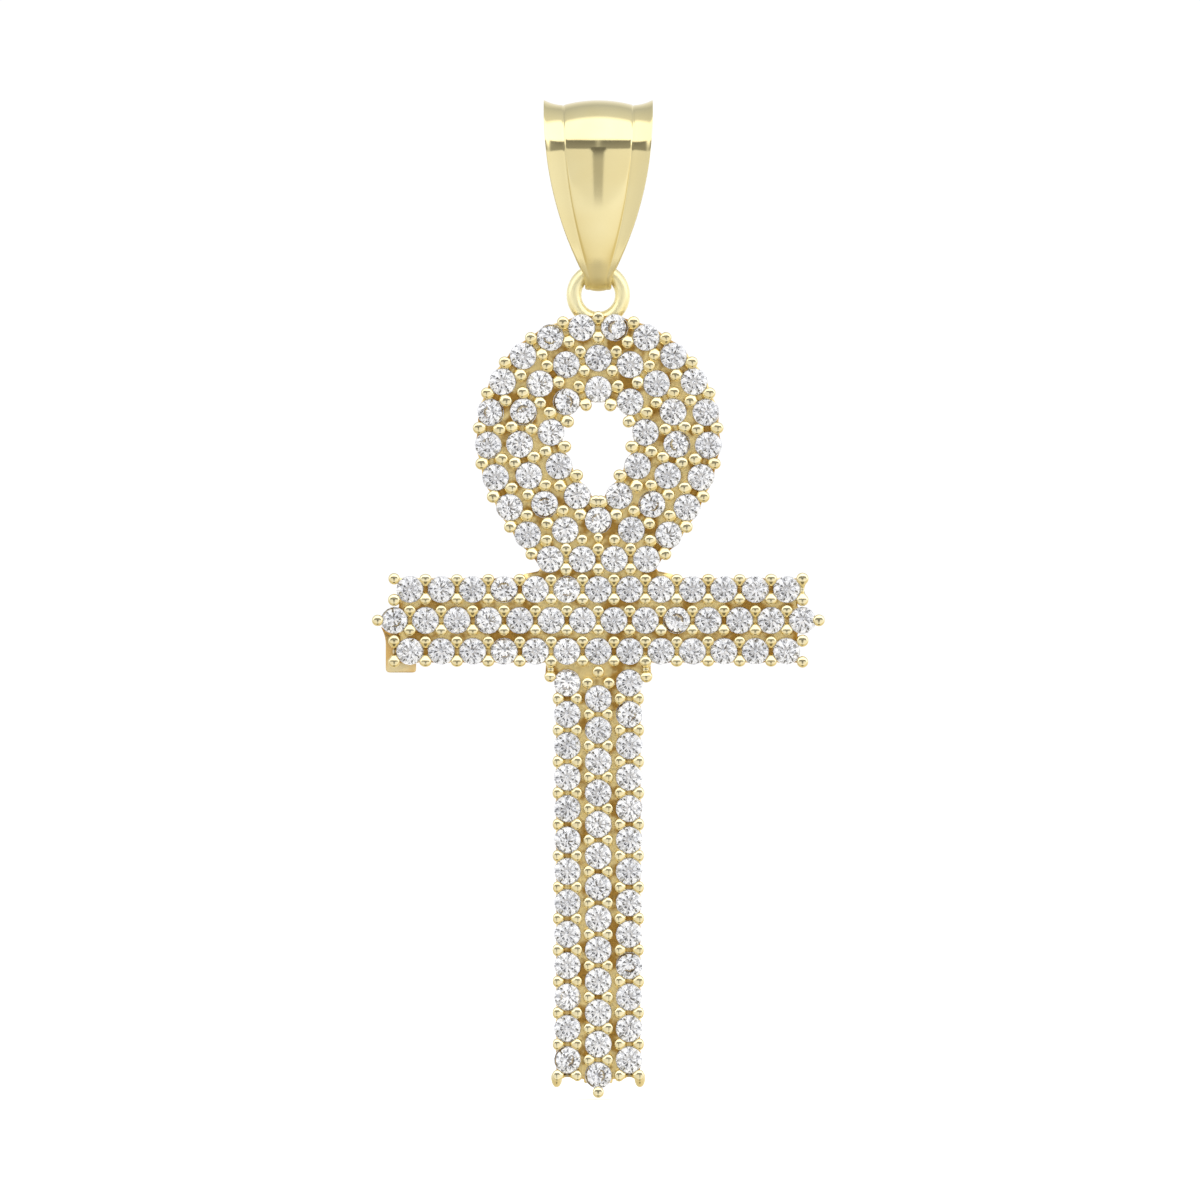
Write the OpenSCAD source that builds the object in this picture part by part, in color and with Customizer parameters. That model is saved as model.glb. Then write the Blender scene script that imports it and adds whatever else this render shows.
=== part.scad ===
// Ankh pendant: a gold cross with a looped head, set with round stones, that swings from a tapered bail.
// The front faces -Y. The origin is the top of the bail's inside, where the chain bears.

/* [Stones] */
// Width of each round stone at its girdle
stone_d = 1.25; // [1.15:0.01:1.28]
// Width of the flat table on a stone
table_d = 0.7; // [0.6:0.01:0.8]
// Height of a stone's crown above the girdle
crown_h = 0.2; // [0.15:0.01:0.24]
// Depth of a stone's pavilion below the girdle
pavilion_h = 0.54; // [0.45:0.01:0.6]

/* [Crossbar and stem] */
// Spacing of the stones along a row of the crossbar or a column of the stem
pitch = 1.45; // [1.42:0.01:1.55]
// Spacing of the rows of the crossbar
row_gap = 1.43; // [1.42:0.01:1.55]
// Spacing of the columns of the stem
column_gap = 1.43; // [1.42:0.01:1.55]
// Stones in the upper and lower rows of the crossbar
bar_stones = 13; // [9:2:17]
// Stones in each column of the stem
stem_stones = 13; // [8:1:18]
// Drop from the lower row of the crossbar to the first stones of the stem's outer columns
stem_drop = 1.46; // [1.42:0.01:1.6]
// Drop from the bottom row of the head to the upper row of the crossbar
neck_drop = 1.39; // [1.38:0.01:1.6]

/* [Head] */
// Radius of the outer ring of stones round the top of the head
head_r = 5.1; // [5:0.05:5.6]
// Spacing of the three rings of stones
ring_gap = 1.455; // [1.43:0.005:1.5]
// How much larger the radius of the flatter sides is than that of the round top
side_extra = 5.06; // [4.8:0.02:5.4]
// Angle below the horizontal where the flatter sides begin
shoulder = 20; // [16:1:24]
// Height of the round top's centre above the bottom row of the head
head_rise = 5.65; // [5.55:0.01:5.8]
// Height of the last stones of the middle ring above the bottom row
middle_rise = 1.354; // [1.33:0.002:1.4]
// Height of the last stones of the inner ring above the bottom row
inner_rise = 2.93; // [2.88:0.01:3]
// Height of the single stone below the opening above the bottom row
keystone_rise = 1.79; // [1.75:0.01:1.84]
// Closest spacing of the stones along a ring
ring_pitch = 1.42; // [1.4:0.005:1.44]

/* [Metal] */
// Thickness of the floor plate under the stones
plate_t = 1.2; // [0.9:0.05:1.6]
// Depth of the plate's front face below the girdles of the stones
plate_drop = 0.15; // [0.12:0.01:0.2]
// How far the edge of the plate stays inside the outer edge of the stones
plate_inset = 0.07; // [0.04:0.01:0.12]
// How far the web between the head and the crossbar shows above the crossbar's stones
web_show = 0.08; // [0.04:0.02:0.16]
// Distance from the plane of the eye ring to the girdles of the stones
girdle_front = 0.56; // [0.5:0.01:0.8]
// Gap between a stone and its seat
seat_gap = 0.03; // [0.02:0.005:0.04]
// Width of the hole behind a stone, below its seat
light_hole_d = 0.84; // [0.7:0.02:0.9]
// Width of that hole at the back face
light_hole_back_d = 1.04; // [0.9:0.02:1.1]

/* [Beads] */
// Width of the round beads that hold the stones
bead_d = 0.55; // [0.5:0.01:0.6]
// Width of the post under a bead
post_d = 0.4; // [0.34:0.01:0.42]
// Distance of a bead from the line of its row of stones
bead_offset = 0.49; // [0.47:0.01:0.54]
// Height of the top of a bead above the girdles
bead_h = 0.33; // [0.28:0.01:0.4]
// Depth of a post into the plate
post_root = 0.6; // [0.4:0.05:0.8]
// How far the single beads at the three ends reach over their stones
end_bite = 0.14; // [0.1:0.01:0.16]
// How far the two beads at the stem's top corners stand out from its other outer beads
corner_out = 0.3; // [0.24:0.02:0.34]
// Height of those beads above the centres of the stones beside them
corner_rise = 0.3; // [0.2:0.02:0.4]
// Gap between the crossbar's middle stone and the lone bead below it
lone_gap = 0.05; // [0.03:0.01:0.1]
// Length of the feet under the stem's outer bottom beads
foot_len = 0.55; // [0.4:0.05:0.7]
// Width of the feet at their tops
foot_d = 0.46; // [0.4:0.01:0.5]
// Width of the feet at their lower ends
foot_tip_d = 0.28; // [0.2:0.01:0.36]
// Backward lean of those feet
foot_lean = 12; // [0:2:20]

/* [Eye ring] */
// Outer width of the ring on top of the head
eye_d = 2.93; // [2.8:0.01:3.1]
// Thickness of its wire
eye_wire_d = 0.69; // [0.6:0.01:0.72]
// Height of its centre above the line of the outer ring of stones
eye_rise = 1.47; // [1.4:0.01:1.6]

/* [Bail] */
// Depth of the inside of the bail at its round top
bail_inside = 3.8; // [3.4:0.1:4.2]
// Distance from the inside of the bail's top down to the centre of the eye ring's wire
bail_drop = 7.38; // [6.8:0.02:8]
// Gap between that wire and the inside of the bail
hang_gap = 0.27; // [0.25:0.01:0.3]
// Thickness of the bail's wall in its two grooves
bail_wall = 0.28; // [0.24:0.01:0.34]
// Width of the bail at the top
bail_w = 5.04; // [4.4:0.02:5.6]
// Width of the bail at its tip
bail_tip_w = 1.04; // [0.9:0.01:1.06]
// Share of the top width that the taper would take away by the tip
bail_taper = 0.87; // [0.85:0.01:0.9]
// How late the taper sets in
bail_taper_power = 2.05; // [1.9:0.05:2.2]
// Height of the crowned middle panel over the grooves
panel_crown = 0.22; // [0.1:0.01:0.26]
// Height of the turned-out rims over the grooves
rim_rise = 0.24; // [0.1:0.01:0.3]
// Share of the half width that the middle panel takes
panel_share = 0.64; // [0.56:0.01:0.72]
// How much narrower each side of the bail is on its inside
inside_bevel = 0.14; // [0.12:0.01:0.16]

/* [Hallmark tab] */
// How far the tab shows to the left of the crossbar's outer stones
tab_out = 0.5; // [0.4:0.02:0.56]
// Width of the blank tab behind the left end of the crossbar
tab_w = 1.4; // [1.2:0.05:1.8]
// How far the tab shows below the crossbar's beads
tab_below = 0.22; // [0.1:0.02:0.4]
// Thickness of the tab
tab_t = 0.7; // [0.5:0.05:0.9]
// How far the tab lies in front of the plate's back face
tab_inset = 0.1; // [0.05:0.01:0.2]

/* [Hidden] */
$fn = 48;
overlap = 0.02;
stone_r = stone_d / 2;
bead_r = bead_d / 2;
post_r = post_d / 2;
plate_edge = stone_r - plate_inset;

// Depths, counted along Y from the plane of the eye ring, with the front at -Y
girdle_y = -girdle_front;
plate_front = girdle_y + plate_drop;
plate_back = plate_front + plate_t;

// Heights of the main lines of stones
eye_r = (eye_d - eye_wire_d) / 2;
eye_z = -bail_drop - eye_r;
head_z = eye_z - eye_rise - head_r;
bottom_row_z = head_z - head_rise;
bar_top_z = bottom_row_z - neck_drop;
bar_z = bar_top_z - row_gap;
bar_bottom_z = bar_z - row_gap;
stem_top_z = bar_bottom_z - stem_drop;

// Distance along a ring of radius r, from its top down to the shoulder
function top_arc(r) = r * (90 + shoulder) * PI / 180;

// Distance along a ring of radius r, from its top down to a height above the bottom row
function arc_down_to(r, rise) =
    let (low = asin((rise - head_rise - side_extra * sin(shoulder)) / (r + side_extra)))
    top_arc(r) + (r + side_extra) * (-shoulder - low) * PI / 180;

// Direction that faces out from a ring of radius r at a distance s from its top, on the right side
function ring_angle(r, s) =
    s <= top_arc(r) ? 90 - s / r * 180 / PI
    : -shoulder - (s - top_arc(r)) / (r + side_extra) * 180 / PI;

// Point of a ring at a signed distance from its top
function ring_point(r, s) =
    let (a = ring_angle(r, abs(s)), low = abs(s) > top_arc(r))
    let (x = low ? (r + side_extra) * cos(a) - side_extra * cos(shoulder) : r * cos(a))
    let (z = low ? (r + side_extra) * sin(a) + side_extra * sin(shoulder) : r * sin(a))
    [s < 0 ? -x : x, head_z + z];

// Rings of the head, each from its left end over the top to its right end
middle_r = head_r - ring_gap;
inner_r = middle_r - ring_gap;
outer_len = arc_down_to(head_r, 0);
middle_len = arc_down_to(middle_r, middle_rise);
inner_len = arc_down_to(inner_r, inner_rise);
outer_n = floor(outer_len / ring_pitch + 0.5);
middle_n = floor(middle_len / ring_pitch);
inner_n = floor(inner_len / ring_pitch);
outer_step = outer_len / (outer_n - 0.5);
outer_ring = [for (i = [0.5 - outer_n : outer_n - 0.5]) ring_point(head_r, i * outer_step)];
middle_ring = [for (i = [-middle_n : middle_n]) ring_point(middle_r, i * middle_len / middle_n)];
inner_ring = [for (i = [-inner_n : inner_n]) ring_point(inner_r, i * inner_len / inner_n)];
keystone = [0, bottom_row_z + keystone_rise];

// Bottom row of the head, from corner to corner of the outer ring
corner_x = ring_point(head_r, outer_len)[0];
row_gaps = floor(2 * corner_x / ring_pitch);
bottom_row = [for (i = [0 : row_gaps]) [corner_x * (2 * i / row_gaps - 1), bottom_row_z]];

// Rows of the crossbar and columns of the stem
bar_half = (bar_stones - 1) / 2 * pitch;
bar_mid_half = bar_half + pitch / 2;
function bar_row(half, z) = [for (x = [-half : pitch : half + overlap]) [x, z]];
function stem_column(x, z) = [for (i = [0 : stem_stones - 1]) [x, z - i * pitch]];
bar_rows = [bar_row(bar_half, bar_top_z), bar_row(bar_mid_half, bar_z), bar_row(bar_half, bar_bottom_z)];
stem_columns = [
    stem_column(-column_gap, stem_top_z),
    stem_column(0, stem_top_z - pitch / 2),
    stem_column(column_gap, stem_top_z)
];
stem_end_z = stem_top_z - (stem_stones - 1) * pitch;

// All stones
inner_bottom = [for (i = [1 : row_gaps - 1]) bottom_row[i]];
loop_points = concat(outer_ring, middle_ring, inner_ring, [keystone], inner_bottom);
cross_points = concat(
    bar_rows[0], bar_rows[1], bar_rows[2],
    stem_columns[0], stem_columns[1], stem_columns[2]
);

// The two beads between each stone of a row and the next, one on either side of the row
function pairs(row) = [
    for (i = [1 : len(row) - 1])
        let (a = row[i - 1], b = row[i], d = (b - a) / norm(b - a), side = [-d[1], d[0]] * bead_offset)
        each [(a + b) / 2 + side, (a + b) / 2 - side]
];

// The two beads past the last stone of a row, which runs on in a direction
function end_pair(p, d) =
    [p + d * pitch / 2 + [-d[1], d[0]] * bead_offset, p + d * pitch / 2 - [-d[1], d[0]] * bead_offset];

left = [-1, 0];
right = [1, 0];
up = [0, 1];
down = [0, -1];
closed_inner = concat(inner_ring, [keystone, inner_ring[0]]);
bar_ends = [
    each end_pair(bar_rows[0][0], left),
    each end_pair(bar_rows[0][bar_stones - 1], right),
    each end_pair(bar_rows[2][0], left),
    each end_pair(bar_rows[2][bar_stones - 1], right)
];
stem_ends = [
    each end_pair([-column_gap, stem_end_z], down),
    each end_pair([column_gap, stem_end_z], down)
];
stem_foot = stem_end_z - pitch / 2;

// Single beads past the ends of the middle row and the middle column
single_reach = stone_r + bead_r - end_bite;
single_ends = [
    [-bar_mid_half - single_reach, bar_z],
    [bar_mid_half + single_reach, bar_z],
    [0, stem_foot - single_reach]
];

// Beads outside the top corners of the stem, and the lone bead in the middle of the joint
corner_x_out = column_gap + bead_offset + corner_out;
corner_beads = [for (side = [-1, 1]) [side * corner_x_out, stem_top_z + corner_rise]];
lone_bead = [0, bar_bottom_z - stone_r - bead_r - lone_gap];

// Beads above the bottom row's inner stones, beside the middle ring's last stones
tuck_beads = [for (p = inner_bottom) p + [0, stone_r + bead_r]];

beads = concat(
    pairs(outer_ring), pairs(middle_ring), pairs(closed_inner), pairs(bottom_row), tuck_beads,
    pairs(bar_rows[0]), pairs(bar_rows[1]), pairs(bar_rows[2]), bar_ends,
    pairs(stem_columns[0]), pairs(stem_columns[1]), pairs(stem_columns[2]), stem_ends,
    end_pair(stem_columns[1][0], up), single_ends, corner_beads, [lone_bead]
);

// Puts children on a point of the front face, with their own Z axis facing the viewer at -Y
module at(p, y = 0) {
    translate([p[0], y, p[1]]) rotate([90, 0, 0]) children();
}

// Points of a round brilliant: table, lower edge of the star facets, girdle and culet
function octagon(r, z, turn) = [for (i = [0 : 7]) [r * cos(45 * i + turn), r * sin(45 * i + turn), z]];
star_share = 0.62;
crown_bulge = 0.11;
star_r = table_d / 2 + (stone_r - table_d / 2) * (1 - star_share + crown_bulge);
star_z = crown_h * star_share;
stone_points = concat(
    octagon(table_d / 2, crown_h, 0),
    octagon(star_r, star_z, 22.5),
    [for (i = [0 : 15]) [stone_r * cos(22.5 * i), stone_r * sin(22.5 * i), 0]],
    [[0, 0, -pavilion_h]]
);
stone_faces = concat(
    [[for (i = [7 : -1 : 0]) i]],
    [for (i = [0 : 7]) [i, (i + 1) % 8, 8 + i]],
    [for (i = [0 : 7]) [i, 8 + i, 16 + 2 * i]],
    [for (i = [0 : 7]) [i, 16 + 2 * i, 8 + (i + 7) % 8]],
    [for (i = [0 : 7]) [8 + i, 17 + 2 * i, 16 + 2 * i]],
    [for (i = [0 : 7]) [8 + i, 16 + (2 * i + 2) % 16, 17 + 2 * i]],
    [for (i = [0 : 15]) [16 + i, 16 + (i + 1) % 16, 32]]
);

module stone() {
    polyhedron(stone_points, stone_faces);
}

// Space that a stone takes in the metal: its own outline with the seat's gap, and the hole behind it
module seat() {
    rim = stone_r + seat_gap;
    ledge = pavilion_h * (1 - light_hole_d / stone_d) + seat_gap;
    rotate_extrude()
        polygon([
            [0, crown_h + seat_gap],
            [table_d / 2 + seat_gap, crown_h + seat_gap],
            [rim, seat_gap / 2],
            [rim, -seat_gap / 2],
            [light_hole_d / 2, -ledge],
            [light_hole_d / 2, -plate_drop - plate_t / 2],
            [light_hole_back_d / 2, -plate_drop - plate_t - overlap],
            [0, -plate_drop - plate_t - overlap]
        ]);
}

// A bead on its post
module bead() {
    root_z = -plate_drop - post_root;
    translate([0, 0, bead_h - bead_r]) sphere(bead_r);
    translate([0, 0, root_z]) cylinder(r = post_r, h = bead_h - bead_r - root_z);
}

// A slab of the floor plate between two corners of the front view
module slab(low, high) {
    translate([low[0], plate_front, low[1]])
        cube([high[0] - low[0], plate_t, high[1] - low[1]]);
}

// A stretch of the head's plate: a band round a centre, from one angle to another
module band(center, r, from, sweep) {
    outer = r + plate_edge;
    inner = r - 2 * ring_gap - plate_edge;
    at(center, plate_back)
        rotate_extrude(angle = sweep, start = from, $fn = 144)
            translate([inner, 0]) square([outer - inner, plate_t]);
}

side_center = [side_extra * cos(shoulder), head_z + side_extra * sin(shoulder)];
corner_angle = -ring_angle(head_r, outer_len);

module head_plate() {
    band([0, head_z], head_r, -shoulder, 180 + 2 * shoulder);
    band([-side_center[0], side_center[1]], head_r + side_extra, -corner_angle, corner_angle - shoulder);
    band(side_center, head_r + side_extra, 180 + shoulder, corner_angle - shoulder);
    // The floor between the opening and the crossbar
    opening_z = keystone[1] + stone_r + bead_d * 2 / 3;
    opening_x = stone_r + bead_r;
    neck_x = corner_x + plate_edge;
    web_x = 2 * pitch + plate_edge;
    web_z = bar_top_z + stone_r + web_show;
    right_side = [
        [opening_x, opening_z], [corner_x, bottom_row_z], [neck_x, bottom_row_z - plate_edge],
        [web_x, web_z], [web_x, bar_top_z]
    ];
    left_side = [for (i = [4 : -1 : 0]) [-right_side[i][0], right_side[i][1]]];
    translate([0, plate_back, 0]) rotate([90, 0, 0])
        linear_extrude(plate_t) polygon(concat(right_side, left_side));
}

module cross_plate() {
    bar_edge = bar_half + plate_edge;
    stem_edge = column_gap + plate_edge;
    slab([-bar_edge, bar_bottom_z - plate_edge], [bar_edge, bar_top_z + plate_edge]);
    slab([-stem_edge, stem_end_z - plate_edge], [stem_edge, bar_bottom_z]);
    // Round ends under the stones that reach past the other rows
    for (p = [[-bar_mid_half, bar_z], [bar_mid_half, bar_z], [0, stem_foot]])
        at(p, plate_back) cylinder(r = plate_edge, h = plate_t);
}

// Arms that join the posts past the ends of the rows to the plate, behind the stones
module end_arm(p, d) {
    far = p - d * pitch / 3;
    half_w = [abs(d[1]), abs(d[0])] * (post_r - overlap);
    low = [min(p[0], far[0]), min(p[1], far[1])] - half_w;
    high = [max(p[0], far[0]), max(p[1], far[1])] + half_w;
    translate([low[0], plate_front + plate_drop / 2, low[1]])
        cube([high[0] - low[0], post_root, high[1] - low[1]]);
}

module end_arms() {
    for (p = bar_ends) end_arm(p, [sign(p[0]), 0]);
    for (p = stem_ends) end_arm(p, down);
    end_arm(single_ends[0], left);
    end_arm(single_ends[1], right);
    end_arm(single_ends[2], down);
    for (p = corner_beads) end_arm(p, [sign(p[0]), 0]);
}

// Short feet that run down from the stem's two outer bottom beads
module stem_feet() {
    for (side = [-1, 1])
        translate([side * (column_gap + bead_offset), girdle_y + seat_gap, stem_foot])
            rotate([180 + foot_lean, 0, 0]) cylinder(d1 = foot_d, d2 = foot_tip_d, h = foot_len);
}

// Blank tab behind the lower left end of the crossbar
module hallmark_tab() {
    low = bar_bottom_z - bead_offset - bead_r - tab_below;
    edge = -bar_half - stone_r - tab_out;
    top = bar_z - stone_r / 2;
    corner = tab_w / 12;
    outline = [
        [-bar_mid_half - plate_edge + corner, top], [edge, bar_bottom_z + stone_r / 2], [edge, low + corner],
        [edge + corner, low], [edge + tab_w - corner, low], [edge + tab_w, low + corner], [edge + tab_w, top]
    ];
    translate([0, plate_back - tab_inset, 0]) rotate([90, 0, 0])
        linear_extrude(tab_t) polygon(outline);
}

module eye_ring() {
    at([0, eye_z])
        rotate_extrude() translate([eye_r, 0]) circle(d = eye_wire_d);
}

module setting() {
    color("#d9bd6a")
        difference() {
            union() {
                head_plate();
                cross_plate();
                end_arms();
                stem_feet();
                hallmark_tab();
                eye_ring();
                for (p = beads) at(p, girdle_y) bead();
            }
            for (p = concat(loop_points, cross_points)) at(p, girdle_y) seat();
        }
}

module loop_stones() {
    color("#eef1f4")
        for (p = loop_points) at(p, girdle_y) stone();
}

module cross_stones() {
    color("#eef1f4")
        for (p = cross_points) at(p, girdle_y) stone();
}

// The bail's inside is a loop in the YZ plane: a round top, a round tip about the eye ring's wire and two
// straight legs that touch both
top_r = bail_inside / 2;
tip_r = eye_wire_d / 2 + hang_gap;
lean = asin((top_r - tip_r) / (bail_drop - top_r));
top_steps = 14;
tip_steps = 8;
leg_steps = 9;
function loop_arc(z, r, from, to, n) = [
    for (i = [0 : n]) let (a = from + (to - from) * i / n) [[r * cos(a), z + r * sin(a)], [cos(a), sin(a)]]
];
function loop_leg(a, b, n) = [for (i = [1 : n - 1]) [a[0] + (b[0] - a[0]) * i / n, a[1]]];
top_loop = loop_arc(-top_r, top_r, -lean, 180 + lean, top_steps);
tip_loop = loop_arc(-bail_drop, tip_r, 180 + lean, 360 - lean, tip_steps);
bail_loop = concat(
    top_loop,
    loop_leg(top_loop[top_steps], tip_loop[0], leg_steps),
    tip_loop,
    loop_leg(tip_loop[tip_steps], top_loop[0], leg_steps)
);

// Half width of the bail at a height, and the height of its outside over the grooves across that width
bail_height = bail_drop + tip_r + bail_wall;
function bail_half_w(z) =
    max(bail_tip_w, bail_w * (1 - bail_taper * pow(max(-z, 0) / bail_height, bail_taper_power))) / 2;
function relief(u) =
    abs(u) < panel_share ? panel_crown * (1 - pow(u / panel_share, 2))
    : rim_rise * pow((abs(u) - panel_share) / (1 - panel_share), 2);
bail_across = [for (i = [-8 : 8]) i / 8];

// One section through the wall: the outside from side to side, then the narrower inside back again
function bail_section(station) =
    let (p = station[0], n = station[1], w = bail_half_w(p[1] + n[1] * bail_wall), share = w * 2 / bail_w)
    concat(
        [for (u = bail_across) let (o = p + n * (bail_wall + relief(u) * share)) [u * w, o[0], o[1]]],
        [for (x = [w - inside_bevel, 0, inside_bevel - w]) [x, p[0], p[1]]]
    );

module bail() {
    sections = [for (station = bail_loop) bail_section(station)];
    around = len(bail_across) + 3;
    count = len(sections);
    faces = [
        for (i = [0 : count - 1], j = [0 : around - 1])
            let (k = (i + 1) % count, m = (j + 1) % around)
            each [
                [i * around + j, i * around + m, k * around + m],
                [i * around + j, k * around + m, k * around + j]
            ]
    ];
    color("#e3cb80")
        polyhedron([for (section = sections) each section], faces);
}

bail();
setting();
loop_stones();
cross_stones();
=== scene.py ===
"""Ankh pendant: detailed pieces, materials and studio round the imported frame. Sizes are in millimetres here
and become metres in the meshes. The front faces -Y, and the origin is the top of the bail's inside."""
import math
import random

import bmesh
import bpy
import numpy as np
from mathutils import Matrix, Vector
from mathutils.geometry import delaunay_2d_cdt


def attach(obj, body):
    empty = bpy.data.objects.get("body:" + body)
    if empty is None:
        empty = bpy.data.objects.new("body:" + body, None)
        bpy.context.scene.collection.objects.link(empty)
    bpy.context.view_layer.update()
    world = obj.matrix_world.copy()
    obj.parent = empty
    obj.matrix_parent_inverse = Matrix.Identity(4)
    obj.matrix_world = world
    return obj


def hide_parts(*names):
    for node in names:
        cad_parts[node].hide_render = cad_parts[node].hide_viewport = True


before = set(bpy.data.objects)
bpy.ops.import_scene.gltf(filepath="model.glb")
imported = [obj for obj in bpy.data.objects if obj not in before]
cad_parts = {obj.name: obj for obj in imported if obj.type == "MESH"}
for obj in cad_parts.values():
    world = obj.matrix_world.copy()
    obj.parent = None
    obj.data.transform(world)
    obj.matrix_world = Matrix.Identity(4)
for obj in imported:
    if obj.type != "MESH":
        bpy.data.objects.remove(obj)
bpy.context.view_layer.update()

MM = 0.001
MICRON = 1e-6
seeded = random.Random(17)

# Sizes of the stones and their rows, as in the part's source
STONE_R = 0.625
TABLE_R = 0.35
CROWN_H = 0.2
PAVILION_H = 0.54
PITCH = 1.45
ROW_GAP = 1.43
BAR_STONES = 13
STEM_STONES = 13
STEM_DROP = 1.46
NECK_DROP = 1.39
HEAD_R = 5.1
RING_GAP = 1.455
SIDE_EXTRA = 5.06
SHOULDER = math.radians(20)
HEAD_RISE = 5.65
MIDDLE_RISE = 1.354
INNER_RISE = 2.93
KEYSTONE_RISE = 1.79
RING_PITCH = 1.42

# Sizes of the metal, as in the part's source
PLATE_T = 1.2
PLATE_DROP = 0.15
PLATE_EDGE = 0.555
WEB_SHOW = 0.08
GIRDLE_Y = -0.56
LIGHT_HOLE_R = 0.42
BEAD_R = 0.275
BEAD_OFFSET = 0.49
BEAD_H = 0.33
POST_R = 0.2
POST_ROOT = 0.6
END_BITE = 0.14
CORNER_OUT = 0.3
CORNER_RISE = 0.3
LONE_GAP = 0.05
FOOT_LEN = 0.55
FOOT_R = 0.23
FOOT_LEAN = math.radians(12)
EYE_WIRE_R = 0.345
EYE_R = 1.12
EYE_RISE = 1.47
TAB_OUT = 0.5
TAB_W = 1.4
TAB_BELOW = 0.22
TAB_T = 0.7
TAB_INSET = 0.1

# Sizes of the bail, as in the part's source
BAIL_TOP_R = 1.9
BAIL_DROP = 7.38
BAIL_TIP_R = 0.615
BAIL_WALL = 0.28
BAIL_W = 5.04
BAIL_TIP_W = 1.04
BAIL_TAPER = 0.87
BAIL_TAPER_POWER = 2.05
PANEL_CROWN = 0.22
RIM_RISE = 0.24
PANEL_SHARE = 0.64
INSIDE_BEVEL = 0.14

PLATE_FRONT = GIRDLE_Y + PLATE_DROP
PLATE_BACK = PLATE_FRONT + PLATE_T
EYE_Z = -BAIL_DROP - EYE_R
HEAD_Z = EYE_Z - EYE_RISE - HEAD_R
BOTTOM_ROW_Z = HEAD_Z - HEAD_RISE
BAR_TOP_Z = BOTTOM_ROW_Z - NECK_DROP
BAR_Z = BAR_TOP_Z - ROW_GAP
BAR_BOTTOM_Z = BAR_Z - ROW_GAP
STEM_TOP_Z = BAR_BOTTOM_Z - STEM_DROP
STEM_END_Z = STEM_TOP_Z - (STEM_STONES - 1) * PITCH
STEM_FOOT_Z = STEM_END_Z - PITCH / 2


# Places of the stones

def top_arc(r):
    """Distance along a ring of radius r, from its top down to the shoulder."""
    return r * (math.pi / 2 + SHOULDER)


def arc_down_to(r, rise):
    """Distance along a ring of radius r, from its top down to a height above the bottom row."""
    low = math.asin((rise - HEAD_RISE - SIDE_EXTRA * math.sin(SHOULDER)) / (r + SIDE_EXTRA))
    return top_arc(r) + (r + SIDE_EXTRA) * (-SHOULDER - low)


def ring_angle(r, s):
    """Direction that faces out from a ring of radius r at a distance s from its top."""
    if s <= top_arc(r):
        return math.pi / 2 - s / r
    return -SHOULDER - (s - top_arc(r)) / (r + SIDE_EXTRA)


def ring_at(r, a, side=1):
    """Point of a ring of radius r in the direction a from its centre, on one side."""
    x, z = r * math.cos(a), r * math.sin(a)
    if a < -SHOULDER:
        x = (r + SIDE_EXTRA) * math.cos(a) - SIDE_EXTRA * math.cos(SHOULDER)
        z = (r + SIDE_EXTRA) * math.sin(a) + SIDE_EXTRA * math.sin(SHOULDER)
    return np.array([side * x, HEAD_Z + z])


def ring_point(r, s):
    """Point of a ring of radius r at a distance s from its top, which is below zero on the left."""
    return ring_at(r, ring_angle(r, abs(s)), -1 if s < 0 else 1)


MIDDLE_R = HEAD_R - RING_GAP
INNER_R = MIDDLE_R - RING_GAP
outer_len = arc_down_to(HEAD_R, 0)
middle_len = arc_down_to(MIDDLE_R, MIDDLE_RISE)
inner_len = arc_down_to(INNER_R, INNER_RISE)
outer_n = int(outer_len / RING_PITCH + 0.5)
middle_n = int(middle_len / RING_PITCH)
inner_n = int(inner_len / RING_PITCH)
outer_ring = [
    ring_point(HEAD_R, (i + 0.5 - outer_n) * outer_len / (outer_n - 0.5)) for i in range(2 * outer_n)]
middle_ring = [ring_point(MIDDLE_R, i * middle_len / middle_n) for i in range(-middle_n, middle_n + 1)]
inner_ring = [ring_point(INNER_R, i * inner_len / inner_n) for i in range(-inner_n, inner_n + 1)]
keystone = np.array([0, BOTTOM_ROW_Z + KEYSTONE_RISE])
corner_x = ring_point(HEAD_R, outer_len)[0]
row_gaps = int(2 * corner_x / RING_PITCH)
bottom_row = [np.array([corner_x * (2 * i / row_gaps - 1), BOTTOM_ROW_Z]) for i in range(row_gaps + 1)]

bar_half = (BAR_STONES - 1) / 2 * PITCH
bar_mid_half = bar_half + PITCH / 2


def bar_row(half, z):
    return [np.array([-half + i * PITCH, z]) for i in range(round(2 * half / PITCH) + 1)]


def stem_column(x, z):
    return [np.array([x, z - i * PITCH]) for i in range(STEM_STONES)]


bar_rows = [bar_row(bar_half, BAR_TOP_Z), bar_row(bar_mid_half, BAR_Z), bar_row(bar_half, BAR_BOTTOM_Z)]
stem_columns = [
    stem_column(-ROW_GAP, STEM_TOP_Z),
    stem_column(0, STEM_TOP_Z - PITCH / 2),
    stem_column(ROW_GAP, STEM_TOP_Z),
]
loop_points = outer_ring + middle_ring + inner_ring + [keystone] + bottom_row[1:-1]
cross_points = [p for row in bar_rows + stem_columns for p in row]
all_points = np.array(loop_points + cross_points)


# Building meshes

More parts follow.
